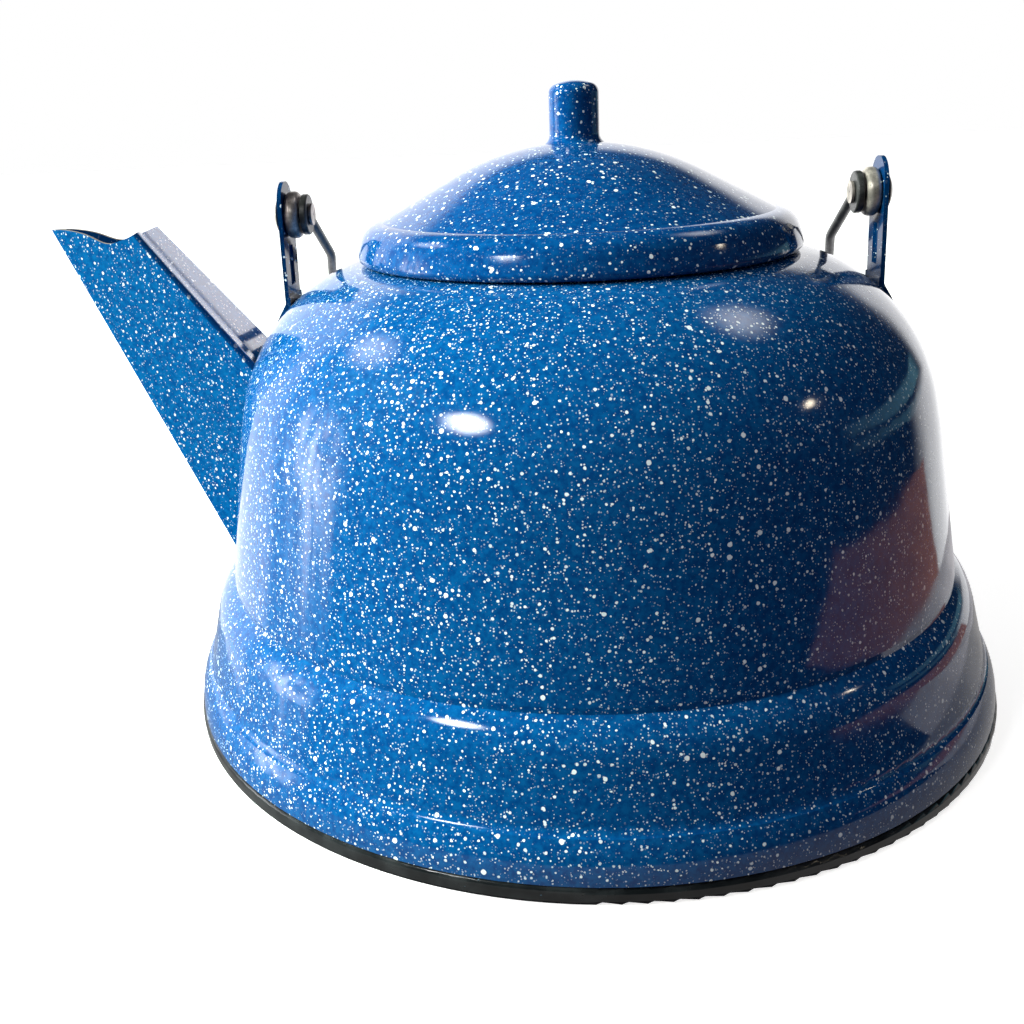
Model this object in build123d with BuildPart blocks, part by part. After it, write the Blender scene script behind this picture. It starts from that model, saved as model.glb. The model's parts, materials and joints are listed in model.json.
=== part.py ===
from build123d import *
import math
import os

# Blue speckled enamel coffee pot with a lift-off lid, a V-section spout and a folding bail handle.
# The origin is the centre of the foot ring on the resting plane, +Z is up and the spout points along -X.
# All lengths are millimetres.

# --- sheet metal ---
SHEET = 1.2  # drawn steel with its enamel coats

# --- pot wall and shoulder ---
WALL_FOOT_R = 97.9  # radius of the wall where it stands in the base pan
WALL_FOOT_Z = 30.6
WALL_BEND_Z = 38.0  # above this height the wall leans inward
WALL_TOP = (92.9, 73.3)  # radius and height where the shoulder begins
SHOULDER_ARCS = [(118.5, 5.5), (46.4, 52.8), (26.7, 22.6)]  # radius and turn of each tangent arc
MOUTH_BEND_R = 3.2
MOUTH_BEND_TURN = 91.0
MOUTH_LIP_DEPTH = 4.0
FOOT_FLANGE_R = 99.6  # outward fold at the lower edge of the wall, inside the base pan

# --- base pan and foot ring ---
PAN_FLOOR_Z = 1.6  # underside of the recessed floor
PAN_FLOOR_R = 100.4
PAN_STEP_R = 102.6
PAN_SEAT_Z = 4.3  # underside of the rim, which sits on the foot ring
PAN_RIM_R = 109.5
PAN_RIM_SIDE = (108.9, 9.6)
PAN_RIM_SHOULDER = (107.2, 13.8)
PAN_WAIST_SIDE = (106.3, 14.8)
PAN_WAIST = (105.9, 16.2)  # the crease between the rim and the band above it
PAN_BAND = (103.0, 28.6)  # where the band starts to turn in
PAN_LIP_ARC = (14.0, 41.0)  # radius and turn; it ends inside the pot's wall and is trimmed to it
HOOP_INNER_R = 103.0
HOOP_R = 110.0
HOOP_EDGE_R = 1.3

# --- strainer holes behind the spout ---
STRAINER_HOLE_R = 1.3
STRAINER_HOLE_DEPTH = 16.0
STRAINER_PITCH = 5.8
STRAINER_ROWS = [1, 1, 2, 2, 3, 3]  # holes in each row, from the lowest row up
STRAINER_LOWEST_Z = 56.0
STRAINER_ROW_STEP = 7.0

# --- spout ---
KEEL_FOOT = (-101.7, 36.2)  # a point low on the keel line, in the XZ plane
SPOUT_TIP = (-143.6, 129.6)
# Points that the pouring lip passes through on its way to the tip, in the XZ plane.
LIP_CURVE = [(-118.2, 127.9), (-122.0, 126.6), (-126.2, 125.8), (-131.6, 127.8), (-137.0, 129.3)]
RIDGE_FRONT = (-115.3, 129.8)  # front end of the top, before its valley is pressed in
RIDGE_SLOPE = 1.275  # rise of the top per unit of reach
SPOUT_ROOT_X = -85.0  # the spout is drawn on into the pot and trimmed to its wall
SPOUT_ROOT_Z = 20.0
SPOUT_BELLY = (-125.0, 60.0)  # a point outside the keel, below the lip
POUR_CLEARANCE = 6.0  # how far the hollow is drawn on past the front of the top
POUR_CORNERS = [(-155.0, 145.0), (-155.0, 110.0)]  # beyond the tip, where the hollow is left open
SPOUT_RUN_OUT = 25.0  # length of keel drawn below KEEL_FOOT
SPOUT_LENGTH = 150.0
SPOUT_WEDGE_DEPTH = 75.0
SPOUT_HALF_ANGLE = 19.5  # between each flat side and the plane of symmetry
KEEL_EDGE_R = 0.8
VALLEY_HALF_WIDTH = 14.0
VALLEY_DEPTH = 3.3
VALLEY_TOOL_HEIGHT = 30.0
VALLEY_RUN_OUT = 20.0
RIDGE_EDGE_R = 1.3
RIDGE_MARGIN = 5.0  # edges nearer than this to the middle or the root aren't ridges

# --- lid ---
LID_CURL_R = 54.0  # inner edge of the rolled rim
LID_TOP_Z = 147.0
LID_CROWN_ARC = (68.4, 28.1)  # radius and turn from the centre to the cone
LID_GROOVE_R = 51.2
LID_BEAD_ARCS = [(6.4, 67.0), (26.0, 9.3), (1.6, 101.2)]
LID_BEAD_START = 2.5  # degrees below the horizontal at which the bead leaves the groove
COLLAR_R = 49.0
COLLAR_SHEET = 1.0
COLLAR_BOTTOM_Z = 109.0
COLLAR_TOP_Z = 129.9  # inside the lid's sheet, where the collar is trimmed to it

# --- lid knob ---
KNOB_TOP_Z = 162.2
KNOB_CROWN_ARCS = [(14.0, 20.0), (2.6, 70.0)]
KNOB_WAIST_Z = 148.8  # where the straight side starts to flare into the foot
KNOB_FLARE_ARC = (2.6, 70.0)
KNOB_FOOT = 1.0
KNOB_SHEET = 1.0
STEM_R = 1.8
STEM_HEAD_R = 5.0
STEM_HEAD_THICK = 1.2
STEM_HEAD_BITE = 0.3  # the head is drawn this far into the lid's sheet and trimmed to it

# --- ears and pivots ---
PIVOT_Z = 131.0
EAR_X = 77.4  # inner face of the ear
EAR_SHEET = 1.1
EAR_HALF_WIDTH = 6.8
EAR_TOP_Z = 140.0
EAR_ROOT_Z = 100.0  # below the shoulder, where the strap is trimmed to the pot
EAR_FLARE_Z = 109.8  # where the outer face starts to sweep out into the foot
EAR_FLARE_ARC = (5.0, 33.0)
EAR_FOOT_RUN = 6.2  # length of the foot's straight part, which thins out onto the shoulder
EAR_FOOT_R = 7.2  # the foot seen from above is round
EAR_FOOT_X = 75.6
RIB_R = 4.0
RIB_RISE = 0.8
RIB_BOTTOM_Z = 112.5
RIB_TOP_Z = 123.0
RIVET_R = 2.0
RIVET_HEAD_R = 4.6
RIVET_HEAD_RISE = 1.3
RIVET_NECK_R = 2.8  # the head stands off the ear on a short neck
RIVET_NECK = 1.1
RIVET_TAIL_R = 2.9
RIVET_TAIL_X = 70.4
RIVET_TAIL_THICK = 0.6
RIVET_TAIL_EDGE_R = 0.25
RIVET_DIMPLE_R = 0.3
SPACER_R = 6.25
SPACER_X = 73.6
SPACER_EDGE_R = 1.6
EYE_R = 5.4
EYE_X = 71.3
EYE_THICK = 1.9
EYE_EDGE_R = 0.5
PIVOT_CLEARANCE = 0.05

# --- bail handle ---
WIRE_R = 1.3
BAIL_SLOPE = 28.0  # degrees below the horizontal at which the folded bail lies
BAIL_REACH = 115.5  # from the pivot axis to the centre line of the grip
BAIL_ARM_X = 71.9
BAIL_ARM_START = 4.0
BAIL_KNEE = (71.9, 30.0)
BAIL_WIDEST = (78.0, 62.0)
BAIL_CORNER_X = 66.0
BAIL_BEND_RADII = [25, 40, 22, 22, 40, 25]
STOP_R = 2.4
STOP_X = 45.8
STOP_THICK = 1.4
WASHER_R = 6.4
WASHER_THICK = 0.8
WASHER_EDGE_R = 0.27
WASHER_X = 44.4
GRIP_HALF_LENGTH = 43.9
GRIP_R = 9.0
GRIP_END_R = 7.2
GRIP_END_EDGE = 1.4
GRIP_CLEARANCE = 0.1
GRIP_GROOVE_X = [36.0, 38.6]
GRIP_GROOVE_R = 0.7
GRIP_GROOVE_DEPTH = 7.95  # from the grip's axis to the centre of each groove

GRIP_Y = BAIL_REACH * math.cos(math.radians(BAIL_SLOPE))
GRIP_Z = PIVOT_Z - BAIL_REACH * math.sin(math.radians(BAIL_SLOPE))


def arc_chain(curve, arcs):
    """Draw tangent arcs onward from curve and return the last; positive turns go left."""
    for radius, turn in arcs:
        curve = JernArc(curve @ 1, curve % 1, radius, turn)
    return curve


def wall_outline(start):
    """Draw the pot's outer line from start up over the shoulder, and return its last curve."""
    foot = Line(start, (WALL_FOOT_R, WALL_BEND_Z))
    wall = Line(foot @ 1, WALL_TOP)
    return arc_chain(wall, SHOULDER_ARCS)


def pan_outline():
    """Draw the base pan's outer line from the floor's centre out to the rim and up to its lip."""
    Polyline((0, PAN_FLOOR_Z), (PAN_FLOOR_R, PAN_FLOOR_Z), (PAN_STEP_R, PAN_SEAT_Z),
             (PAN_RIM_R, PAN_SEAT_Z))
    rim = ThreePointArc((PAN_RIM_R, PAN_SEAT_Z), PAN_RIM_SIDE, PAN_RIM_SHOULDER)
    waist = ThreePointArc(rim @ 1, PAN_WAIST_SIDE, PAN_WAIST)
    band = Line(waist @ 1, PAN_BAND)
    return arc_chain(band, [PAN_LIP_ARC])


def lid_outline():
    """Draw the lid's outer line from its centre down to the curled rim, and return its last curve."""
    radius, turn = LID_CROWN_ARC
    crown = JernArc((0, LID_TOP_Z), (1, 0), radius, -turn)
    slope = (crown % 1).Y / (crown % 1).X
    cone = Line(crown @ 1, (LID_GROOVE_R, (crown @ 1).Y + slope * (LID_GROOVE_R - (crown @ 1).X)))
    bead_start = (math.cos(math.radians(LID_BEAD_START)), -math.sin(math.radians(LID_BEAD_START)))
    bead = JernArc(cone @ 1, bead_start, LID_BEAD_ARCS[0][0], -LID_BEAD_ARCS[0][1])
    curl = arc_chain(bead, [(arc_radius, -arc_turn) for arc_radius, arc_turn in LID_BEAD_ARCS[1:]])
    return Line(curl @ 1, (LID_CURL_R, (curl @ 1).Y))


def turned_ring(x_start, thickness, bore_r, outer_r, edge_r, axis_y=0.0, axis_z=PIVOT_Z):
    """A ring turned about a line parallel to X through (axis_y, axis_z), with rounded outer edges."""
    with BuildPart() as ring:
        with BuildSketch(Plane.XZ.offset(-axis_y)) as section:
            with Locations((x_start + thickness / 2, axis_z + (bore_r + outer_r) / 2)):
                Rectangle(thickness, outer_r - bore_r)
            fillet(section.vertices().group_by(Axis.Z)[-1], edge_r)
        revolve(axis=Axis((0, axis_y, axis_z), (1, 0, 0)))
    return ring.part


def spout_form(inset, drawn_past_lip):
    """The spout's wedge, with its keel, sides and grooved top all moved inward by inset."""
    keel = Vector(SPOUT_TIP[0] - KEEL_FOOT[0], 0, SPOUT_TIP[1] - KEEL_FOOT[1]).normalized()
    inward = Vector(keel.Z, 0, -keel.X)
    low_end = Vector(KEEL_FOOT[0], 0, KEEL_FOOT[1]) - keel * SPOUT_RUN_OUT
    keel_plane = Plane(origin=low_end, x_dir=inward, z_dir=keel)
    half_angle = math.radians(SPOUT_HALF_ANGLE)
    apex = inset / math.sin(half_angle) - KEEL_EDGE_R * (1 / math.sin(half_angle) - 1)
    half_width = (SPOUT_WEDGE_DEPTH - apex) * math.tan(half_angle)
    ridge = Vector(-1, 0, RIDGE_SLOPE).normalized()
    front = Vector(RIDGE_FRONT[0], 0, RIDGE_FRONT[1]) - Vector(RIDGE_SLOPE, 0, 1).normalized() * inset
    back = front - ridge * (SPOUT_ROOT_X - RIDGE_FRONT[0]) / -ridge.X
    with BuildPart() as form:
        with BuildSketch(keel_plane) as wedge:
            Polygon((apex, 0), (SPOUT_WEDGE_DEPTH, half_width), (SPOUT_WEDGE_DEPTH, -half_width),
                    align=None)
            fillet(wedge.vertices().sort_by_distance(keel_plane.origin)[0], KEEL_EDGE_R)
        extrude(amount=SPOUT_LENGTH)
        with BuildSketch(Plane.XZ):
            with BuildLine():
                top = Line((back.X, back.Z), (front.X, front.Z))
                if drawn_past_lip:
                    mouth = Polyline(top @ 1, (front.X - POUR_CLEARANCE, front.Z + POUR_CLEARANCE),
                                     *POUR_CORNERS)
                else:
                    mouth = Spline(top @ 1, *LIP_CURVE, SPOUT_TIP)
                Polyline(mouth @ 1, SPOUT_BELLY, (KEEL_FOOT[0], SPOUT_ROOT_Z),
                         (SPOUT_ROOT_X, SPOUT_ROOT_Z), top @ 0)
            make_face()
        extrude(amount=SPOUT_WEDGE_DEPTH, both=True, mode=Mode.INTERSECT)
        with BuildSketch(Plane(origin=back, x_dir=(0, -1, 0), z_dir=ridge)):
            Polygon((VALLEY_HALF_WIDTH, 0), (0, -VALLEY_DEPTH), (-VALLEY_HALF_WIDTH, 0),
                    (0, VALLEY_TOOL_HEIGHT), align=None)
        extrude(amount=(front - back).length + VALLEY_RUN_OUT, mode=Mode.SUBTRACT)
        ridges = [edge for edge in form.edges().filter_by(GeomType.LINE)
                  if abs(edge.center().Y) > RIDGE_MARGIN
                  and edge.center().X < SPOUT_ROOT_X - RIDGE_MARGIN]
        fillet(ridges, RIDGE_EDGE_R)
    return form.part


# The pot's outer form, filled in, to which the ears and the spout are fitted.
with BuildPart() as pot_form:
    with BuildSketch(Plane.XZ):
        with BuildLine():
            shoulder = wall_outline((WALL_FOOT_R, 0))
            Polyline(shoulder @ 1, (0, (shoulder @ 1).Y), (0, 0), (WALL_FOOT_R, 0))
        make_face()
    revolve(axis=Axis.Z)

with BuildPart() as pan_form:
    with BuildSketch(Plane.XZ):
        with BuildLine():
            lip = pan_outline()
            Polyline(lip @ 1, (0, (lip @ 1).Y), (0, PAN_FLOOR_Z))
        make_face()
    revolve(axis=Axis.Z)

with BuildPart() as lid_form:
    with BuildSketch(Plane.XZ):
        with BuildLine():
            curl = lid_outline()
            Polyline(curl @ 1, (0, (curl @ 1).Y), (0, LID_TOP_Z))
        make_face()
    revolve(axis=Axis.Z)

spout_outside = spout_form(0.0, False)
spout_inside = spout_form(SHEET, True)

# --- pot ---
with BuildPart() as body_shell:
    with BuildSketch(Plane.XZ):
        with BuildLine():
            flange = Line((FOOT_FLANGE_R, WALL_FOOT_Z), (WALL_FOOT_R, WALL_FOOT_Z + SHEET))
            shoulder = wall_outline(flange @ 1)
            lip_bend = arc_chain(shoulder, [(MOUTH_BEND_R, MOUTH_BEND_TURN)])
            Line(lip_bend @ 1, (lip_bend @ 1) + (lip_bend % 1) * MOUTH_LIP_DEPTH)
            offset(amount=SHEET, side=Side.LEFT)
        make_face()
    revolve(axis=Axis.Z)
    for row, count in enumerate(STRAINER_ROWS):
        with BuildSketch(Plane.YZ.offset(-WALL_FOOT_R)):
            with Locations((0, STRAINER_LOWEST_Z + row * STRAINER_ROW_STEP)):
                with GridLocations(STRAINER_PITCH, 1, count, 1):
                    Circle(STRAINER_HOLE_R)
        extrude(amount=STRAINER_HOLE_DEPTH, mode=Mode.SUBTRACT)

with BuildPart() as base_pan:
    with BuildSketch(Plane.XZ):
        with BuildLine():
            pan_outline()
            offset(amount=SHEET, side=Side.LEFT)
        make_face()
    revolve(axis=Axis.Z)
    add(body_shell.part, mode=Mode.SUBTRACT)

with BuildPart() as foot_hoop:
    with BuildSketch(Plane.XZ) as hoop_section:
        with Locations(((HOOP_INNER_R + HOOP_R) / 2, PAN_SEAT_Z / 2)):
            Rectangle(HOOP_R - HOOP_INNER_R, PAN_SEAT_Z)
        fillet(hoop_section.vertices().group_by(Axis.X)[-1], HOOP_EDGE_R)
    revolve(axis=Axis.Z)

with BuildPart() as spout:
    add(spout_outside)
    add(spout_inside, mode=Mode.SUBTRACT)
    add(pot_form.part, mode=Mode.SUBTRACT)
    add(pan_form.part, mode=Mode.SUBTRACT)

# --- ears and pivots ---
with BuildPart() as right_ear:
    with BuildSketch(Plane.XZ):
        with BuildLine():
            outer_x = EAR_X + EAR_SHEET
            flare = JernArc((outer_x, EAR_FLARE_Z), (0, -1), *EAR_FLARE_ARC)
            foot = Line(flare @ 1, (flare @ 1) + (flare % 1) * EAR_FOOT_RUN)
            Polyline(foot @ 1, (EAR_X, EAR_ROOT_Z), (EAR_X, EAR_FLARE_Z), (outer_x, EAR_FLARE_Z))
        make_face()
    revolve(axis=Axis.Z)
    with BuildSketch(Plane.XY.offset(EAR_ROOT_Z)):
        with Locations((EAR_FOOT_X, 0)):
            Circle(EAR_FOOT_R)
    extrude(amount=EAR_TOP_Z - EAR_ROOT_Z, mode=Mode.INTERSECT)
    with BuildSketch(Plane.YZ.offset(EAR_X)):
        with Locations((0, EAR_TOP_Z - EAR_HALF_WIDTH)):
            Circle(EAR_HALF_WIDTH)
        with Locations((0, (EAR_TOP_Z - EAR_HALF_WIDTH + EAR_ROOT_Z) / 2)):
            Rectangle(2 * EAR_HALF_WIDTH, EAR_TOP_Z - EAR_HALF_WIDTH - EAR_ROOT_Z)
    extrude(amount=EAR_SHEET)
    with BuildSketch(Plane.XY.offset(RIB_BOTTOM_Z)):
        with Locations((EAR_X + EAR_SHEET + RIB_RISE - RIB_R, 0)):
            Circle(RIB_R)
        with Locations((EAR_X - RIB_R, 0)):
            Rectangle(2 * RIB_R, 2 * RIB_R, mode=Mode.SUBTRACT)
    extrude(amount=RIB_TOP_Z - RIB_BOTTOM_Z)
    with BuildSketch(Plane.XY.offset(RIB_BOTTOM_Z)):
        with Locations((EAR_X + RIB_RISE - RIB_R, 0)):
            Circle(RIB_R)
    extrude(amount=RIB_TOP_Z - RIB_BOTTOM_Z, mode=Mode.SUBTRACT)
    with BuildSketch(Plane.YZ):
        with Locations((0, PIVOT_Z)):
            Circle(RIVET_R + PIVOT_CLEARANCE)
    extrude(amount=2 * EAR_X, mode=Mode.SUBTRACT)
    add(pot_form.part, mode=Mode.SUBTRACT)

with BuildPart() as left_ear:
    mirror(right_ear.part, about=Plane.YZ)

PIVOT_BORE_R = RIVET_R + PIVOT_CLEARANCE
right_spacer_ring = turned_ring(SPACER_X, EAR_X - SPACER_X, PIVOT_BORE_R, SPACER_R, SPACER_EDGE_R)
eye_ring = turned_ring(EYE_X, EYE_THICK, PIVOT_BORE_R, EYE_R, EYE_EDGE_R)

with BuildPart() as right_spacer:
    add(right_spacer_ring)

with BuildPart() as left_spacer:
    mirror(right_spacer_ring, about=Plane.YZ)

with BuildPart() as right_rivet:
    with BuildSketch(Plane.XZ) as rivet_section:
        with BuildLine():
            neck_x = EAR_X + EAR_SHEET
            head_x = neck_x + RIVET_NECK
            tail_back_x = RIVET_TAIL_X + RIVET_TAIL_THICK
            Polyline((RIVET_TAIL_X + RIVET_DIMPLE_R, PIVOT_Z), (RIVET_TAIL_X, PIVOT_Z + RIVET_DIMPLE_R),
                     (RIVET_TAIL_X, PIVOT_Z + RIVET_TAIL_R), (tail_back_x, PIVOT_Z + RIVET_TAIL_R),
                     (tail_back_x, PIVOT_Z + RIVET_R), (neck_x, PIVOT_Z + RIVET_R),
                     (neck_x, PIVOT_Z + RIVET_NECK_R), (head_x, PIVOT_Z + RIVET_NECK_R),
                     (head_x, PIVOT_Z + RIVET_HEAD_R))
            dome_r = (RIVET_HEAD_R**2 + RIVET_HEAD_RISE**2) / (2 * RIVET_HEAD_RISE)
            dome_turn = math.degrees(math.asin(RIVET_HEAD_R / dome_r))
            JernArc((head_x + RIVET_HEAD_RISE, PIVOT_Z), (0, 1), dome_r, dome_turn)
            Line((head_x + RIVET_HEAD_RISE, PIVOT_Z), (RIVET_TAIL_X + RIVET_DIMPLE_R, PIVOT_Z))
        make_face()
        tail_rim = (RIVET_TAIL_X, 0, PIVOT_Z + RIVET_TAIL_R)
        fillet(rivet_section.vertices().sort_by_distance(tail_rim)[0], RIVET_TAIL_EDGE_R)
    revolve(axis=Axis((0, 0, PIVOT_Z), (1, 0, 0)))

with BuildPart() as left_rivet:
    mirror(right_rivet.part, about=Plane.YZ)

# --- bail and grip ---
slope = math.radians(BAIL_SLOPE)
bail_plane = Plane(origin=(0, 0, PIVOT_Z), x_dir=(1, 0, 0), z_dir=(0, math.sin(slope), math.cos(slope)))
half_route = [(BAIL_ARM_X, BAIL_ARM_START), BAIL_KNEE, BAIL_WIDEST, (BAIL_CORNER_X, BAIL_REACH)]
route_points = half_route + [(-x, reach) for x, reach in reversed(half_route)]

with BuildPart() as bail_wire:
    with BuildLine(bail_plane) as route:
        FilletPolyline(*route_points, radius=BAIL_BEND_RADII)
    with BuildSketch(Plane(route.wires()[0] @ 0, z_dir=route.wires()[0] % 0)):
        Circle(WIRE_R)
    sweep()
    add(eye_ring)
    mirror(eye_ring, about=Plane.YZ)
    for stop_x in (STOP_X, -STOP_X - STOP_THICK):
        add(turned_ring(stop_x, STOP_THICK, WIRE_R / 2, STOP_R, EYE_EDGE_R, GRIP_Y, GRIP_Z))

washer_ring = turned_ring(WASHER_X, WASHER_THICK, WIRE_R + GRIP_CLEARANCE, WASHER_R, WASHER_EDGE_R,
                          GRIP_Y, GRIP_Z)

with BuildPart() as right_grip_washer:
    add(washer_ring)

with BuildPart() as left_grip_washer:
    mirror(washer_ring, about=Plane.YZ)

with BuildPart() as grip:
    with BuildSketch(Plane.XZ.offset(-GRIP_Y)) as grip_section:
        with BuildLine():
            bore_z = GRIP_Z + WIRE_R + GRIP_CLEARANCE
            Polyline((-GRIP_HALF_LENGTH, GRIP_Z + GRIP_END_R), (-GRIP_HALF_LENGTH, bore_z),
                     (GRIP_HALF_LENGTH, bore_z), (GRIP_HALF_LENGTH, GRIP_Z + GRIP_END_R))
            ThreePointArc((GRIP_HALF_LENGTH, GRIP_Z + GRIP_END_R), (0, GRIP_Z + GRIP_R),
                          (-GRIP_HALF_LENGTH, GRIP_Z + GRIP_END_R))
        make_face()
        fillet(grip_section.vertices().group_by(Axis.Z)[-1], GRIP_END_EDGE)
        for groove_x in GRIP_GROOVE_X:
            groove_z = GRIP_Z + GRIP_GROOVE_DEPTH
            with Locations((groove_x, groove_z), (-groove_x, groove_z)):
                Circle(GRIP_GROOVE_R, mode=Mode.SUBTRACT)
    revolve(axis=Axis((0, GRIP_Y, GRIP_Z), (1, 0, 0)))

# --- lid ---
with BuildPart() as lid_shell:
    with BuildSketch(Plane.XZ):
        with BuildLine():
            lid_outline()
            offset(amount=SHEET, side=Side.RIGHT)
        make_face()
    revolve(axis=Axis.Z)
    with Locations((0, 0, LID_TOP_Z)):
        Hole(STEM_R + PIVOT_CLEARANCE, depth=2 * SHEET)

with BuildPart() as lid_collar:
    with BuildSketch(Plane.XY.offset(COLLAR_BOTTOM_Z)):
        Circle(COLLAR_R)
        Circle(COLLAR_R - COLLAR_SHEET, mode=Mode.SUBTRACT)
    extrude(amount=COLLAR_TOP_Z - COLLAR_BOTTOM_Z)
    add(lid_shell.part, mode=Mode.SUBTRACT)

with BuildPart() as lid_knob:
    with BuildSketch(Plane.XZ):
        with BuildLine():
            crown = JernArc((0, KNOB_TOP_Z), (1, 0), KNOB_CROWN_ARCS[0][0], -KNOB_CROWN_ARCS[0][1])
            corner = JernArc(crown @ 1, crown % 1, KNOB_CROWN_ARCS[1][0], -KNOB_CROWN_ARCS[1][1])
            side = Line(corner @ 1, ((corner @ 1).X, KNOB_WAIST_Z))
            flare = arc_chain(side, [KNOB_FLARE_ARC])
            Line(flare @ 1, (flare @ 1) + (flare % 1) * KNOB_FOOT)
            offset(amount=KNOB_SHEET, side=Side.RIGHT)
        make_face()
    revolve(axis=Axis.Z)
    add(lid_form.part, mode=Mode.SUBTRACT)

with BuildPart() as knob_stem:
    with BuildSketch(Plane.XY.offset(LID_TOP_Z - SHEET - STEM_HEAD_THICK)):
        Circle(STEM_HEAD_R)
    extrude(amount=STEM_HEAD_THICK + STEM_HEAD_BITE)
    with BuildSketch(Plane.XY.offset(LID_TOP_Z - SHEET)):
        Circle(STEM_R)
    extrude(amount=KNOB_TOP_Z - LID_TOP_Z)
    add(lid_shell.part, mode=Mode.SUBTRACT)
    add(lid_knob.part, mode=Mode.SUBTRACT)

pieces = {
    "body_shell": body_shell, "base_pan": base_pan, "foot_hoop": foot_hoop, "spout": spout,
    "right_ear": right_ear, "left_ear": left_ear, "right_spacer": right_spacer, "left_spacer": left_spacer,
    "right_rivet": right_rivet, "left_rivet": left_rivet, "bail_wire": bail_wire,
    "right_grip_washer": right_grip_washer, "left_grip_washer": left_grip_washer, "grip": grip,
    "lid_shell": lid_shell, "lid_collar": lid_collar, "lid_knob": lid_knob, "knob_stem": knob_stem,
}
os.makedirs("parts", exist_ok=True)
for name, piece in pieces.items():
    piece.part.label = name
    export_step(piece.part, f"parts/{name}.step")
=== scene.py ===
import json
import math

import bmesh
import bpy
from mathutils import Matrix, Vector
from mathutils.bvhtree import BVHTree


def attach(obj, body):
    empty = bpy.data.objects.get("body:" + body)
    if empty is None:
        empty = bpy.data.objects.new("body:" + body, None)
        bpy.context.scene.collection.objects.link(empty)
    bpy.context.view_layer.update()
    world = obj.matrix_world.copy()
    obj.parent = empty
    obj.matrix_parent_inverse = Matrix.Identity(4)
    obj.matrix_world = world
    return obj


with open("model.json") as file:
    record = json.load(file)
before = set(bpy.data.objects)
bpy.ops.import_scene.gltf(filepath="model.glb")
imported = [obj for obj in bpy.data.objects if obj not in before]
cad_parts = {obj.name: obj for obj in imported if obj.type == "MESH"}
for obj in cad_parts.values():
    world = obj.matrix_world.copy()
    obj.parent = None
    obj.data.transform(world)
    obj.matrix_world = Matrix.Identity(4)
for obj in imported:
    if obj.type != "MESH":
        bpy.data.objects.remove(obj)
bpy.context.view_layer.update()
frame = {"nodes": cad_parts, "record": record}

# The looks of the blue speckled enamel coffee pot: a material for each node, a bead of enamel round the
# spout's root, the floor, the light and the camera. Lengths are metres; a value named _MM is millimetres.

MM = 0.001

# ---------------------------------------------------------------- node helpers

NOISE_RANGE = (0.3, 0.7)  # most of a noise texture's values lie between these


class Tree:
    """Short calls for adding nodes to one node tree."""

    def __init__(self, node_tree):
        self.nodes = node_tree.nodes
        self.links = node_tree.links

    def link(self, source, target):
        self.links.new(source, target)

    def fill(self, socket, value):
        """Put a plain number on a socket, or link another node's output to it."""
        if isinstance(value, (int, float)):
            socket.default_value = value
        else:
            self.link(value, socket)

    def place_mm(self):
        """Place in the model's frame, in millimetres."""
        coords = self.nodes.new("ShaderNodeTexCoord")
        scaled = self.nodes.new("ShaderNodeVectorMath")
        scaled.operation = "SCALE"
        scaled.inputs["Scale"].default_value = 1 / MM
        self.link(coords.outputs["Object"], scaled.inputs[0])
        return scaled.outputs[0]

    def split(self, vector):
        """The X, Y and Z of a vector."""
        node = self.nodes.new("ShaderNodeSeparateXYZ")
        self.link(vector, node.inputs[0])
        return node.outputs

    def stretched(self, vector, scale, turn=(0, 0, 0)):
        mapping = self.nodes.new("ShaderNodeMapping")
        mapping.inputs["Scale"].default_value = scale
        mapping.inputs["Rotation"].default_value = turn
        self.link(vector, mapping.inputs["Vector"])
        return mapping.outputs["Vector"]

    def noise(self, vector, size, detail=2.0, rough=0.5, output="Fac"):
        node = self.nodes.new("ShaderNodeTexNoise")
        node.inputs["Scale"].default_value = 1 / size
        node.inputs["Detail"].default_value = detail
        node.inputs["Roughness"].default_value = rough
        self.link(vector, node.inputs["Vector"])
        return node.outputs[output]

    def math(self, operation, *values):
        node = self.nodes.new("ShaderNodeMath")
        node.operation = operation
        for socket, value in zip(node.inputs, values):
            self.fill(socket, value)
        return node.outputs[0]

    def ramp(self, value, taken, given=(0.0, 1.0), smooth=True):
        """Turn the range taken into the range given, and hold the ends beyond it."""
        node = self.nodes.new("ShaderNodeMapRange")
        node.interpolation_type = "SMOOTHSTEP" if smooth else "LINEAR"
        for key, number in zip(("From Min", "From Max", "To Min", "To Max"), (*taken, *given)):
            node.inputs[key].default_value = number
        self.link(value, node.inputs["Value"])
        return node.outputs["Result"]

    def mix(self, factor, a, b):
        """From colour a to colour b, each a tuple or another node's output."""
        node = self.nodes.new("ShaderNodeMix")
        node.data_type = "RGBA"
        for key, value in (("Factor", factor), ("A", a), ("B", b)):
            socket = next(s for s in node.inputs if s.name == key and s.enabled)
            if isinstance(value, tuple):
                socket.default_value = (*value, 1.0)
            else:
                self.link(value, socket)
        return next(s for s in node.outputs if s.enabled)

    def bump(self, height, depth_mm):
        node = self.nodes.new("ShaderNodeBump")
        node.inputs["Strength"].default_value = 1.0
        node.inputs["Distance"].default_value = depth_mm * MM
        self.link(height, node.inputs["Height"])
        return node.outputs["Normal"]

    def spots(self, vector, spacing, small, large, rarity, soft):
        """Round spots: a mask from 0 to 1, and a random number for each spot."""
        cells = self.nodes.new("ShaderNodeTexVoronoi")
        cells.voronoi_dimensions = "3D"
        cells.inputs["Scale"].default_value = 1 / spacing
        self.link(vector, cells.inputs["Vector"])
        randoms = self.nodes.new("ShaderNodeSeparateColor")
        self.link(cells.outputs["Color"], randoms.inputs[0])
        share = self.math("POWER", randoms.outputs[0], rarity)
        radius = self.math("MULTIPLY_ADD", share, large - small, small)
        away = self.math("MULTIPLY", cells.outputs["Distance"], spacing)
        inner = self.math("SUBTRACT", radius, away)
        return self.ramp(inner, (-soft, soft)), randoms.outputs[1]


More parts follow.
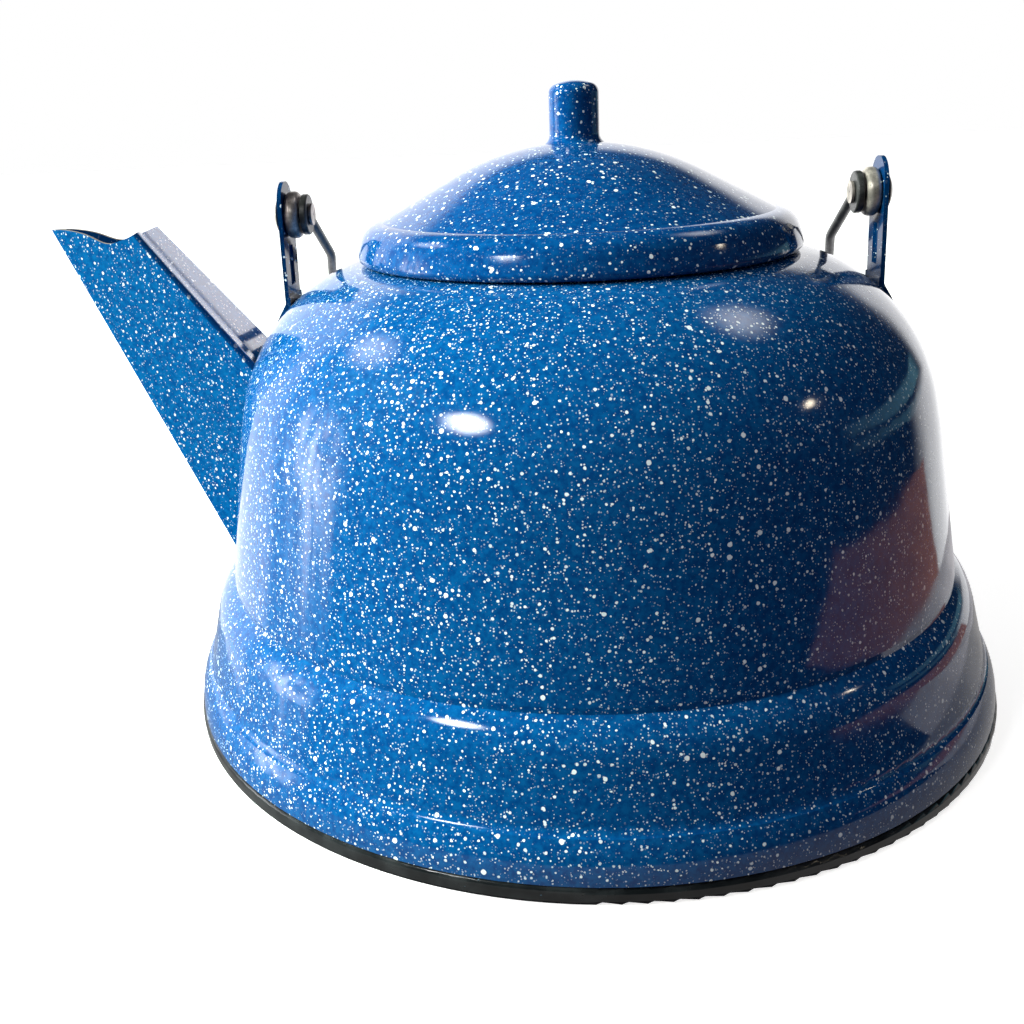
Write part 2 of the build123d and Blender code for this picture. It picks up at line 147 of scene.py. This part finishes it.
class Surface(Tree):
    """A new material that ends in one Principled shader."""

    def __init__(self, name):
        self.material = bpy.data.materials.new(name)
        self.material.use_nodes = True
        super().__init__(self.material.node_tree)
        self.nodes.clear()
        output = self.nodes.new("ShaderNodeOutputMaterial")
        self.shader = self.nodes.new("ShaderNodeBsdfPrincipled")
        self.link(self.shader.outputs["BSDF"], output.inputs["Surface"])

    def set(self, **values):
        """Put plain values on the shader, or link other nodes' outputs to it; _ stands for a space."""
        for key, value in values.items():
            socket = self.shader.inputs[key.replace("_", " ")]
            if isinstance(value, tuple):
                socket.default_value = (*value, 1.0)
            else:
                self.fill(socket, value)


# ---------------------------------------------------------------- materials

# Spots: spacing and radii in mm, a power that makes the large ones rarer, and half the soft edge in mm.
BIG_FLECKS = {"spacing": 3.2, "small": 0.10, "large": 0.60, "rarity": 1.6, "soft": 0.05}
MIDDLE_FLECKS = {"spacing": 1.38, "small": 0.04, "large": 0.37, "rarity": 1.2, "soft": 0.04}
FINE_FLECKS = {"spacing": 0.64, "small": 0.01, "large": 0.225, "rarity": 1.0, "soft": 0.04}
HOOP_SPECKS = {"spacing": 2.6, "small": 0.02, "large": 0.24, "rarity": 1.5, "soft": 0.06}
STEEL_PITS = {"spacing": 0.8, "small": 0.02, "large": 0.16, "rarity": 1.5, "soft": 0.05}

# How white the palest and the whitest fleck of each size are.
BIG_WHITE = (0.85, 1.0)
MIDDLE_WHITE = (0.6, 1.0)
FINE_PALEST, FINE_WHITEST = 0.05, 0.78
FINE_THIN_PATCH = 0.72  # what is left of the fine flecks where they are thinnest

FLECK_WHITE = (0.86, 0.92, 0.94)
FLECK_WOBBLE_MM = 0.36  # how far a fleck's outline strays from round
WOBBLE_SIZE_MM = 0.9
PATCH_SIZE_MM = 28.0
DEPTH_SIZE_MM = 1.6
SMEAR_SIZE_MM = 19.0
WAVE_SIZE_MM, WAVE_DEPTH_MM = 8.5, 0.055

COBALT = (0.0008, 0.054, 0.198)
LID_COBALT = (0.0007, 0.042, 0.168)
# The ears' blue: the body's glaze painted much darker, as painted shade for the ears lying in shade.
EAR_SHADED_COBALT = (0.0005, 0.020, 0.080)
SPOUT_COBALT = (0.0009, 0.080, 0.265)
DEEPER = (0.72, 0.72, 0.80)  # the glaze's darkest and lightest blue, as shares of its colour
LIGHTER = (1.6, 1.40, 1.20)

GLAZE_IOR = 1.5
GLAZE_ROUGH = (0.06, 0.12)
EAR_GLOSS = 0.12  # the ears' flat faces would mirror the room too brightly
SPOUT_STRETCH = (1.08, 1.0, 0.82)  # the flecks on the spout ran a little along it
SPOUT_TURN = (0, math.radians(-22), 0)


def tinted(colour, shares):
    return tuple(c * share for c, share in zip(colour, shares))


def enamel(name, base=COBALT, fine_whitest=FINE_WHITEST, stretch=(1.0, 1.0, 1.0), turn=(0, 0, 0)):
    """Cobalt blue enamel with white flecks fired into it."""
    t = Surface(name)
    place = t.place_mm()
    wobble = t.nodes.new("ShaderNodeVectorMath")
    wobble.operation = "MULTIPLY_ADD"
    t.link(t.noise(place, WOBBLE_SIZE_MM, 1.0, output="Color"), wobble.inputs[0])
    wobble.inputs[1].default_value = (FLECK_WOBBLE_MM, FLECK_WOBBLE_MM, FLECK_WOBBLE_MM)
    t.link(place, wobble.inputs[2])
    flecked = t.stretched(wobble.outputs[0], stretch, turn)

    depth = t.noise(place, DEPTH_SIZE_MM, 3.0, 0.65)
    look = t.mix(t.ramp(depth, NOISE_RANGE), tinted(base, DEEPER), tinted(base, LIGHTER))

    fine, fine_random = t.spots(flecked, **FINE_FLECKS)
    fine = t.math("MULTIPLY", fine, t.ramp(fine_random, (0.1, 0.9), (FINE_PALEST, fine_whitest)))
    density = t.ramp(t.noise(place, PATCH_SIZE_MM), (0.35, 0.62), (FINE_THIN_PATCH, 1.0))
    look = t.mix(t.math("MULTIPLY", fine, density), look, FLECK_WHITE)
    for flecks, whiteness in ((MIDDLE_FLECKS, MIDDLE_WHITE), (BIG_FLECKS, BIG_WHITE)):
        mask, random = t.spots(flecked, **flecks)
        white = t.math("MULTIPLY", mask, t.ramp(random, (0.0, 1.0), whiteness))
        look = t.mix(white, look, FLECK_WHITE)

    smear = t.noise(place, SMEAR_SIZE_MM, 2.0, 0.55)
    waves = t.noise(place, WAVE_SIZE_MM, 1.0, 0.4)
    t.set(
        Base_Color=look,
        Roughness=t.ramp(smear, (0.3, 0.75), GLAZE_ROUGH),
        Normal=t.bump(waves, WAVE_DEPTH_MM),
        IOR=GLAZE_IOR,
    )
    return t


HOOP_BLACK, HOOP_GREY = (0.006, 0.007, 0.008), (0.018, 0.020, 0.022)
HOOP_SPECK_BLUE = (0.10, 0.20, 0.28)


def black_enamel(name):
    """Black enamel with a few faint blue specks."""
    t = Surface(name)
    place = t.place_mm()
    cloud = t.noise(place, 6.0, 3.0)
    look = t.mix(t.ramp(cloud, (0.35, 0.7)), HOOP_BLACK, HOOP_GREY)
    specks, random = t.spots(place, **HOOP_SPECKS)
    faint = t.math("MULTIPLY", specks, t.ramp(random, (0.3, 1.0), (0.0, 0.5)))
    t.set(
        Base_Color=t.mix(faint, look, HOOP_SPECK_BLUE),
        Roughness=t.ramp(cloud, (0.3, 0.75), (0.10, 0.24)),
        Normal=t.bump(t.noise(place, 5.0), 0.05),
        IOR=GLAZE_IOR,
    )
    return t


STEEL_GREY = (0.68, 0.59, 0.53)
WIRE_GREY = (0.085, 0.085, 0.085)
STAIN_SHARE = 0.42  # how light a stain is, as a share of the clean steel
PIT_BROWN = (0.06, 0.045, 0.035)
SCRATCH_SIZE_MM, SCRATCH_DEPTH_MM = 0.35, 0.012


def steel(name, base):
    """Plain steel, dulled by handling and a little heat stain."""
    t = Surface(name)
    place = t.place_mm()
    stain = t.noise(place, 3.5, 3.0, 0.6)
    look = t.mix(t.ramp(stain, (0.38, 0.66)), tuple(c * STAIN_SHARE for c in base), base)
    pits, random = t.spots(place, **STEEL_PITS)
    brown = t.math("MULTIPLY", pits, t.ramp(random, (0.5, 1.0), (0.0, 0.8)))
    scratch = t.noise(place, SCRATCH_SIZE_MM, 3.0, 0.7)
    t.set(
        Base_Color=t.mix(brown, look, PIT_BROWN),
        Roughness=t.ramp(scratch, NOISE_RANGE, (0.26, 0.48)),
        Normal=t.bump(scratch, SCRATCH_DEPTH_MM),
        Metallic=0.6,
    )
    return t


WOOD_DARK, WOOD_LIGHT = (0.020, 0.010, 0.006), (0.075, 0.036, 0.018)
PORE_BLACK = (0.008, 0.005, 0.004)
GRAIN_SIZE_MM, PORE_SIZE_MM = 1.3, 0.35
GRAIN_STRETCH, PORE_STRETCH = (0.06, 1.0, 1.0), (0.12, 1.0, 1.0)  # the grain runs along the grip's X


def turned_wood(name):
    """Dark varnished wood with its grain along the grip."""
    t = Surface(name)
    place = t.place_mm()
    grain = t.noise(t.stretched(place, GRAIN_STRETCH), GRAIN_SIZE_MM, 4.0, 0.6)
    pore = t.noise(t.stretched(place, PORE_STRETCH), PORE_SIZE_MM, 2.0, 0.6)
    look = t.mix(t.ramp(grain, (0.32, 0.68)), WOOD_DARK, WOOD_LIGHT)
    t.set(
        Base_Color=t.mix(t.ramp(pore, (0.58, 0.72), (0.0, 0.7)), look, PORE_BLACK),
        Roughness=t.ramp(grain, NOISE_RANGE, (0.30, 0.45)),
        Normal=t.bump(t.math("ADD", grain, pore), 0.05),
        IOR=1.48,
    )
    return t


VALLEY_MM = (0.5, 2.4)  # from the valley's middle line out to where its sides shine as usual
VALLEY_GLOSS = (0.16, 0.5)
LIP_ABOVE_MM = (117.0, 119.0)
LIP_BROWN, LIP_ROUGH = (0.115, 0.100, 0.075), 0.45
# A darker blue painted on the ridges beside the spout's valley: painted shade standing for the dark room they
# mirror.
RIDGE_SHADE_BLUE = (0.0006, 0.026, 0.110)


def spout_details(t):
    """Dull the groove of the valley, paint the ridges beside it a darker blue as painted shade and painted
    dark reflection, and bare the lip's edge of blue.
    """
    _, across, height = t.split(t.place_mm())
    normal = t.nodes.new("ShaderNodeNewGeometry").outputs["True Normal"]
    forward, _, upward = t.split(normal)
    # Painted shade: the ridges' faces that point up and away from +X get the darker blue, chosen by their
    # normal.
    ridge_shade = t.math("MULTIPLY", t.ramp(upward, (-0.08, 0.10)), t.ramp(forward, (0.60, 0.70), (0.8, 0.0)))
    lip = t.math("MULTIPLY", t.ramp(upward, (0.70, 0.80)), t.ramp(height, LIP_ABOVE_MM))
    painted = t.shader.inputs["Base Color"].links[0].from_socket
    painted = t.mix(ridge_shade, painted, RIDGE_SHADE_BLUE)
    t.set(
        Base_Color=t.mix(lip, painted, LIP_BROWN),
        Roughness=t.ramp(lip, (0.0, 1.0), (0.08, LIP_ROUGH)),
        Specular_IOR_Level=t.ramp(t.math("ABSOLUTE", across), VALLEY_MM, VALLEY_GLOSS),
    )


BLUE = enamel("blue_enamel")
LID_BLUE = enamel("blue_enamel_lid", LID_COBALT, fine_whitest=0.2)
# The ears wear a darker copy of the body's blue with dimmer flecks: painted shade, not a different enamel.
EAR_SHADED_BLUE = enamel("blue_enamel_ear_shaded", EAR_SHADED_COBALT, fine_whitest=0.05)
EAR_SHADED_BLUE.set(Specular_IOR_Level=EAR_GLOSS)
SPOUT_BLUE = enamel("blue_enamel_spout", SPOUT_COBALT, stretch=SPOUT_STRETCH, turn=SPOUT_TURN)
spout_details(SPOUT_BLUE)
BLACK = black_enamel("black_enamel")
STEEL = steel("steel", STEEL_GREY)
WIRE = steel("steel_wire", WIRE_GREY)
WOOD = turned_wood("grip_wood")

SLOT_LOOKS = {"blue_enamel": BLUE, "black_enamel": BLACK, "steel": STEEL, "grip_wood": WOOD}
NODE_LOOKS = {
    "spout": SPOUT_BLUE,
    "lid_shell": LID_BLUE,
    "lid_knob": LID_BLUE,
    "right_ear": EAR_SHADED_BLUE,
    "left_ear": EAR_SHADED_BLUE,
    "bail_wire": WIRE,
}
SLOTS = {part["node"]: part["material_slot"] for part in frame["record"]["subparts"]}
for name, node in frame["nodes"].items():
    slot = SLOTS[name]
    node.data.materials.clear()
    node.data.materials.append(NODE_LOOKS.get(name, SLOT_LOOKS[slot]).material)

# ---------------------------------------------------------------- enamel fillet round the spout's root

FILLET_R = 0.9 * MM
FILLET_SINK = 0.25 * MM  # how far the fillet's centre lies inside the body's sheet
FILLET_SIDES = 12
FILLET_TAPER_STEPS = 4  # steps from each end to where the fillet has its full thickness
FILLET_END_SHARE = 0.3  # of one such step, so that the ends aren't points
SEAM_LOW_Z, SEAM_HIGH_Z, SEAM_STEPS = 36.5 * MM, 108.0 * MM, 56
SEAM_START_DEG, SEAM_STEP_DEG = 16.0, 0.05
SEAM_SMOOTHINGS = 6
RAY_START_X = -0.2  # beyond the spout's tip


def surface_tree(name):
    mesh = frame["nodes"][name].data
    return BVHTree.FromPolygons([v.co for v in mesh.vertices], [p.vertices[:] for p in mesh.polygons])


def seam_side(side, body, spout):
    """Where the spout's outside meets the body's, from the keel up, on one side of the pot's middle plane."""
    points = []
    for k in range(SEAM_STEPS + 1):
        z = SEAM_LOW_Z + (SEAM_HIGH_Z - SEAM_LOW_Z) * k / SEAM_STEPS
        hit = body.ray_cast(Vector((RAY_START_X, 0, z)), Vector((1, 0, 0)))[0]
        if hit is None:
            continue
        radius = math.hypot(hit.x, hit.y)
        turn = SEAM_START_DEG
        while turn > 0:
            angle = math.pi + side * math.radians(turn)
            point = Vector((radius * math.cos(angle), radius * math.sin(angle), z))
            if spout.find_nearest(point)[3] < FILLET_R - FILLET_SINK:
                outward = Vector((point.x, point.y, 0)).normalized()
                points.append(point - outward * FILLET_SINK)
                break
            turn -= SEAM_STEP_DEG
    return points


def smoothed(points):
    for _ in range(SEAM_SMOOTHINGS):
        inner = [(a + 2 * b + c) / 4 for a, b, c in zip(points, points[1:], points[2:])]
        points = [points[0], *inner, points[-1]]
    return points


def bead(name, points, radius, sides, material):
    """A closed round bead along points, narrowing at its two ends."""
    shape = bmesh.new()
    rings = []
    last = len(points) - 1
    for k, point in enumerate(points):
        along = (points[min(k + 1, last)] - points[max(k - 1, 0)]).normalized()
        across = along.cross(Vector((point.x, point.y, 0))).normalized()
        outward = across.cross(along).normalized()
        from_end = (min(k, last - k) + FILLET_END_SHARE) / FILLET_TAPER_STEPS
        here = radius * min(1.0, math.sqrt(from_end))
        turns = [2 * math.pi * side / sides for side in range(sides)]
        ring = [point + here * (math.cos(a) * across + math.sin(a) * outward) for a in turns]
        rings.append([shape.verts.new(place) for place in ring])
    for one, other in zip(rings, rings[1:]):
        for side in range(sides):
            after = (side + 1) % sides
            shape.faces.new((one[side], one[after], other[after], other[side]))
    shape.faces.new(list(reversed(rings[0])))
    shape.faces.new(rings[-1])
    bmesh.ops.recalc_face_normals(shape, faces=shape.faces)
    mesh = bpy.data.meshes.new(name)
    shape.to_mesh(mesh)
    shape.free()
    mesh.polygons.foreach_set("use_smooth", [True] * len(mesh.polygons))
    mesh.materials.append(material)
    piece = bpy.data.objects.new(name, mesh)
    bpy.context.scene.collection.objects.link(piece)
    return piece


body_surface, spout_surface = surface_tree("body_shell"), surface_tree("spout")
one_side, other_side = (smoothed(seam_side(side, body_surface, spout_surface)) for side in (1, -1))
seam = list(reversed(one_side)) + other_side
fillet = bead("spout_fillet", seam, FILLET_R, FILLET_SIDES, BLUE.material)
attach(fillet, "pot")

# ---------------------------------------------------------------- floor, and what the glaze mirrors on it

FLOOR_HALF = 4.0
FLOOR_GREY, FLOOR_WHITE = (0.86, 0.86, 0.85), (0.90, 0.90, 0.89)
CARD_Z = 0.05 * MM
CARD_SHADE = 0.75  # a card's darkest colour, as a share of its lightest
PAPER_IN, PAPER_OUT = 0.1105, 0.150  # the inner edge is just outside the foot hoop
PAPER_RIGHT_OUT = 0.200
TABLE_WOOD_OUTLINE = ((0.19, -0.16), (0.39, -0.16), (0.39, 0.17), (0.19, 0.04))
TABLE_WOOD_BROWN = (1.0, 0.43, 0.29)


def stage_mesh(name, points, faces, material):
    mesh = bpy.data.meshes.new(name)
    mesh.from_pydata(points, [], faces)
    mesh.materials.append(material)
    obj = bpy.data.objects.new(name, mesh)
    bpy.context.scene.collection.objects.link(obj)
    return obj


def white_floor():
    """A pale floor that the glaze doesn't mirror, because the cards and the world stand in for it."""
    t = Surface("floor_white")
    cloud = t.noise(t.place_mm(), 90.0, 3.0)
    t.set(
        Base_Color=t.mix(t.ramp(cloud, NOISE_RANGE), FLOOR_GREY, FLOOR_WHITE),
        Roughness=0.55,
        Emission_Color=(1.0, 0.995, 0.98),
        Emission_Strength=0.80,
    )
    corners = [(x * FLOOR_HALF, y * FLOOR_HALF, 0) for x, y in ((-1, -1), (1, -1), (1, 1), (-1, 1))]
    floor = stage_mesh("floor", corners, [(0, 1, 2, 3)], t.material)
    floor.visible_glossy = False
    floor.visible_diffuse = False


def mirror_card(name, points, faces, colour, strength):
    """Something on the table that the glaze mirrors but the camera doesn't see; only its top glows."""
    t = Surface(name)
    grain = t.noise(t.place_mm(), 40.0, 3.0)
    backfacing = t.nodes.new("ShaderNodeNewGeometry").outputs["Backfacing"]
    t.set(
        Base_Color=(0.0, 0.0, 0.0),
        Roughness=0.9,
        Emission_Color=t.mix(t.ramp(grain, NOISE_RANGE), tuple(CARD_SHADE * c for c in colour), colour),
        Emission_Strength=t.ramp(backfacing, (0.0, 1.0), (strength, 0.0), smooth=False),
    )
    card = stage_mesh(name, points, faces, t.material)
    card.visible_camera = False
    card.visible_diffuse = False
    card.visible_shadow = False


def ring_card(name, inner, outer, start_deg, end_deg, steps, colour, strength):
    turns = [math.radians(start_deg + (end_deg - start_deg) * k / steps) for k in range(steps + 1)]
    points = [(r * math.cos(a), r * math.sin(a), CARD_Z) for a in turns for r in (inner, outer)]
    faces = [(2 * k, 2 * k + 1, 2 * k + 3, 2 * k + 2) for k in range(steps)]
    mirror_card(name, points, faces, colour, strength)


white_floor()
ring_card("paper", PAPER_IN, PAPER_OUT, -180, 180, 72, (1.0, 0.97, 0.95), 0.45)
ring_card("paper_right", PAPER_OUT, PAPER_RIGHT_OUT, -25, 60, 24, (1.0, 0.97, 1.0), 0.8)
wood_corners = [(x, y, CARD_Z) for x, y in TABLE_WOOD_OUTLINE]
mirror_card("table_wood", wood_corners, [(0, 1, 2, 3)], TABLE_WOOD_BROWN, 0.60)

# ---------------------------------------------------------------- lamps

POT_MIDDLE = Vector((0, 0, 0.08))


def area_light(name, place, target, size, power, colour=(1, 1, 1)):
    data = bpy.data.lights.new(name, "AREA")
    data.shape = "RECTANGLE"
    data.size, data.size_y = size
    data.energy = power
    data.color = colour
    lamp = bpy.data.objects.new(name, data)
    lamp.location = place
    lamp.rotation_euler = (Vector(target) - Vector(place)).to_track_quat("-Z", "Y").to_euler()
    lamp.visible_camera = False
    bpy.context.scene.collection.objects.link(lamp)
    return lamp


def soften(lamp, steady, streaks):
    """Let the lamp fade from this share of its half width to its edge, and break it into any streaks."""
    lamp.data.use_nodes = True
    t = Tree(lamp.data.node_tree)
    t.nodes.clear()
    output = t.nodes.new("ShaderNodeOutputLight")
    glow = t.nodes.new("ShaderNodeEmission")
    t.link(glow.outputs[0], output.inputs[0])
    place = t.nodes.new("ShaderNodeNewGeometry").outputs["Parametric"]
    centred = t.nodes.new("ShaderNodeVectorMath")
    centred.operation = "SUBTRACT"
    centred.inputs[1].default_value = (0.5, 0.5, 0.0)
    t.link(place, centred.inputs[0])
    length = t.nodes.new("ShaderNodeVectorMath")
    length.operation = "LENGTH"
    t.link(centred.outputs[0], length.inputs[0])
    fade = t.ramp(length.outputs["Value"], (0.5 * steady, 0.5), (1.0, 0.0))
    if streaks is not None:
        bands = t.noise(t.stretched(place, streaks), 1.0, 2.0, 0.6)
        fade = t.math("MULTIPLY", fade, t.ramp(bands, (0.42, 0.60), (0.25, 1.6)))
    t.link(fade, glow.inputs["Strength"])


def mirrored_lamp(name, point, toward, away, size, radiance, colour=(1, 1, 1), steady=None, streaks=None):
    """A lamp in the direction toward, seen from a point on the glaze, as bright as radiance."""
    place = Vector(point) + Vector(toward).normalized() * away
    power = radiance * math.pi * size[0] * size[1]
    lamp = area_light(name, place, point, size, power, colour)
    if steady is not None:
        soften(lamp, steady, streaks)
    return lamp


MIRRORED = {
    "lamp": {
        "point": (-0.025, -0.082, 0.097),
        "toward": (-0.54, -0.62, 0.57),
        "away": 0.8,
        "size": (0.27, 0.19),
        "radiance": 30.0,
        "steady": 0.45,
    },
    "sky_left": {
        "point": (-0.044, -0.062, 0.108),
        "toward": (-0.69, 0.25, 0.68),
        "away": 0.9,
        "size": (0.42, 0.32),
        "radiance": 6.0,
        "steady": 0.1,
    },
    "window_left": {
        "point": (-0.064, -0.067, 0.075),
        "toward": (-0.98, 0.05, 0.02),
        "away": 0.9,
        "size": (0.60, 0.80),
        "radiance": 5.0,
        "steady": 0.1,
        "streaks": (7.0, 2.2, 1.0),
    },
    "sky_right": {
        "point": (0.033, -0.067, 0.110),
        "toward": (0.49, 0.30, 0.82),
        "away": 0.9,
        "size": (0.46, 0.30),
        "radiance": 4.5,
        "steady": 0.1,
    },
    "spark_right": {
        "point": (0.047, -0.073, 0.0945),
        "toward": (0.9, -0.16, 0.41),
        "away": 0.8,
        "size": (0.07, 0.045),
        "radiance": 30.0,
        "colour": (1.0, 0.86, 0.66),
        "steady": 0.3,
    },
}
for name, values in MIRRORED.items():
    mirrored_lamp(name, **values)

spout_only = bpy.data.collections.new("spout_only")
spout_only.objects.link(frame["nodes"]["spout"])
valley_glint = mirrored_lamp(
    "valley_glint",
    point=(-0.118, 0.0, 0.11),
    toward=(0.50, 0.70, 0.50),
    away=0.9,
    size=(0.5, 0.5),
    radiance=6.2,
    colour=(1.0, 0.98, 0.98),
)
valley_glint.light_linking.receiver_collection = spout_only

# Lamps that light the pot without being mirrored: place, width, power in watts and colour.
FILLS = {
    "key": ((-1.10, -0.12, 0.65), 0.8, 78.0, (0.86, 1.0, 0.88)),
    "front_fill": ((0.1, -1.3, 0.5), 1.0, 1.6, (0.80, 0.72, 1.0)),
    "right_fill": ((1.2, -0.4, 0.5), 1.0, 1.0, (1.0, 0.9, 0.95)),
}
for name, (place, width, power, colour) in FILLS.items():
    area_light(name, place, POT_MIDDLE, (width, width), power, colour).visible_glossy = False

# ---------------------------------------------------------------- the room that the glaze mirrors

ROOM_DARK = (0.012, 0.018, 0.024)
ROOM_WHITE = (1.5, 1.5, 1.52)
BAR_TEAL = (0.36, 0.80, 0.95)
BAR_EDGE = 0.012
BARS = ((0.11, -0.12, 0.034, 0.5), (0.005, -0.10, 0.018, 0.35))  # height, slope, half width, strength


def room_colour(w):
    """The room by direction: side is towards +X, behind towards +Y and above towards +Z."""
    coords = w.nodes.new("ShaderNodeTexCoord")
    side, behind, above = w.split(coords.outputs["Generated"])
    table = w.math("MULTIPLY", w.ramp(above, (-0.08, 0.0), (1.0, 0.0)), w.ramp(behind, (0.45, 0.66)))
    turned = w.math("MULTIPLY_ADD", side, -0.25, behind)
    raised = w.math("MULTIPLY_ADD", side, 0.25, above)
    back_wall = w.math("MULTIPLY", w.ramp(turned, (0.54, 0.68)), w.ramp(raised, (0.38, 0.54), (1.0, 0.02)))
    left_wall = w.ramp(side, (-0.98, -0.60), (0.34, 0.0))
    left_wall = w.math("MULTIPLY", left_wall, w.ramp(behind, (-0.15, 0.3), (0.12, 1.0)))
    left_wall = w.math("MULTIPLY", left_wall, w.ramp(above, (0.2, 0.7), (1.0, 0.2)))
    bright = w.math("MAXIMUM", w.math("MAXIMUM", table, back_wall), left_wall)
    to_right = w.ramp(side, (0.66, 0.74))
    room = ROOM_DARK
    for height, slope, half, strength in BARS:
        middle = w.math("MULTIPLY_ADD", behind, slope, height)
        offset = w.math("ABSOLUTE", w.math("SUBTRACT", above, middle))
        bar = w.ramp(offset, (half, half + BAR_EDGE), (strength, 0.0))
        bar = w.math("MULTIPLY", bar, w.ramp(behind, (-0.12, 0.02)))
        room = w.mix(w.math("MULTIPLY", bar, to_right), room, BAR_TEAL)
    return w.mix(bright, room, ROOM_WHITE)


def studio_world():
    """Plain white behind the pot for the camera, and the room for everything else."""
    world = bpy.data.worlds.new("studio")
    world.use_nodes = True
    bpy.context.scene.world = world
    w = Tree(world.node_tree)
    w.nodes.clear()
    output = w.nodes.new("ShaderNodeOutputWorld")
    room = w.nodes.new("ShaderNodeBackground")
    w.link(room_colour(w), room.inputs["Color"])
    plain = w.nodes.new("ShaderNodeBackground")
    plain.inputs["Color"].default_value = (1.0, 1.0, 1.0, 1.0)
    path = w.nodes.new("ShaderNodeLightPath")
    choose = w.nodes.new("ShaderNodeMixShader")
    w.link(path.outputs["Is Camera Ray"], choose.inputs[0])
    w.link(room.outputs[0], choose.inputs[1])
    w.link(plain.outputs[0], choose.inputs[2])
    w.link(choose.outputs[0], output.inputs[0])


studio_world()

# ---------------------------------------------------------------- camera

LENS_MM, SENSOR_MM = 39.867, 36.0
SHIFT_X, SHIFT_Y = 0.03906, -0.08398
CAMERA_AWAY, CAMERA_HIGH = 0.3050, 0.1559
PAN, PITCH, ROLL, POT_TURN = (math.radians(a) for a in (-5.69, 15.54, -2.79, 0.5))
CLIP_START, CLIP_END = 0.01, 50.0

forward = Vector((math.sin(PAN) * math.cos(PITCH), math.cos(PAN) * math.cos(PITCH), -math.sin(PITCH)))
level = Vector((math.cos(PAN), -math.sin(PAN), 0))
upward = level.cross(forward)
right = math.cos(ROLL) * level + math.sin(ROLL) * upward
up = -math.sin(ROLL) * level + math.cos(ROLL) * upward
camera_axes = Matrix((right, up, -forward)).transposed().to_4x4()
camera_axes.translation = (0, -CAMERA_AWAY, CAMERA_HIGH)
camera_data = bpy.data.cameras.new("camera")
camera_data.sensor_width = SENSOR_MM
camera_data.lens = LENS_MM
camera_data.shift_x = SHIFT_X
camera_data.shift_y = SHIFT_Y
camera_data.clip_start = CLIP_START
camera_data.clip_end = CLIP_END
camera = bpy.data.objects.new("camera", camera_data)
camera.matrix_world = Matrix.Rotation(-POT_TURN, 4, "Z") @ camera_axes
bpy.context.scene.collection.objects.link(camera)
bpy.context.scene.camera = camera
bpy.context.scene.view_settings.view_transform = "Standard"
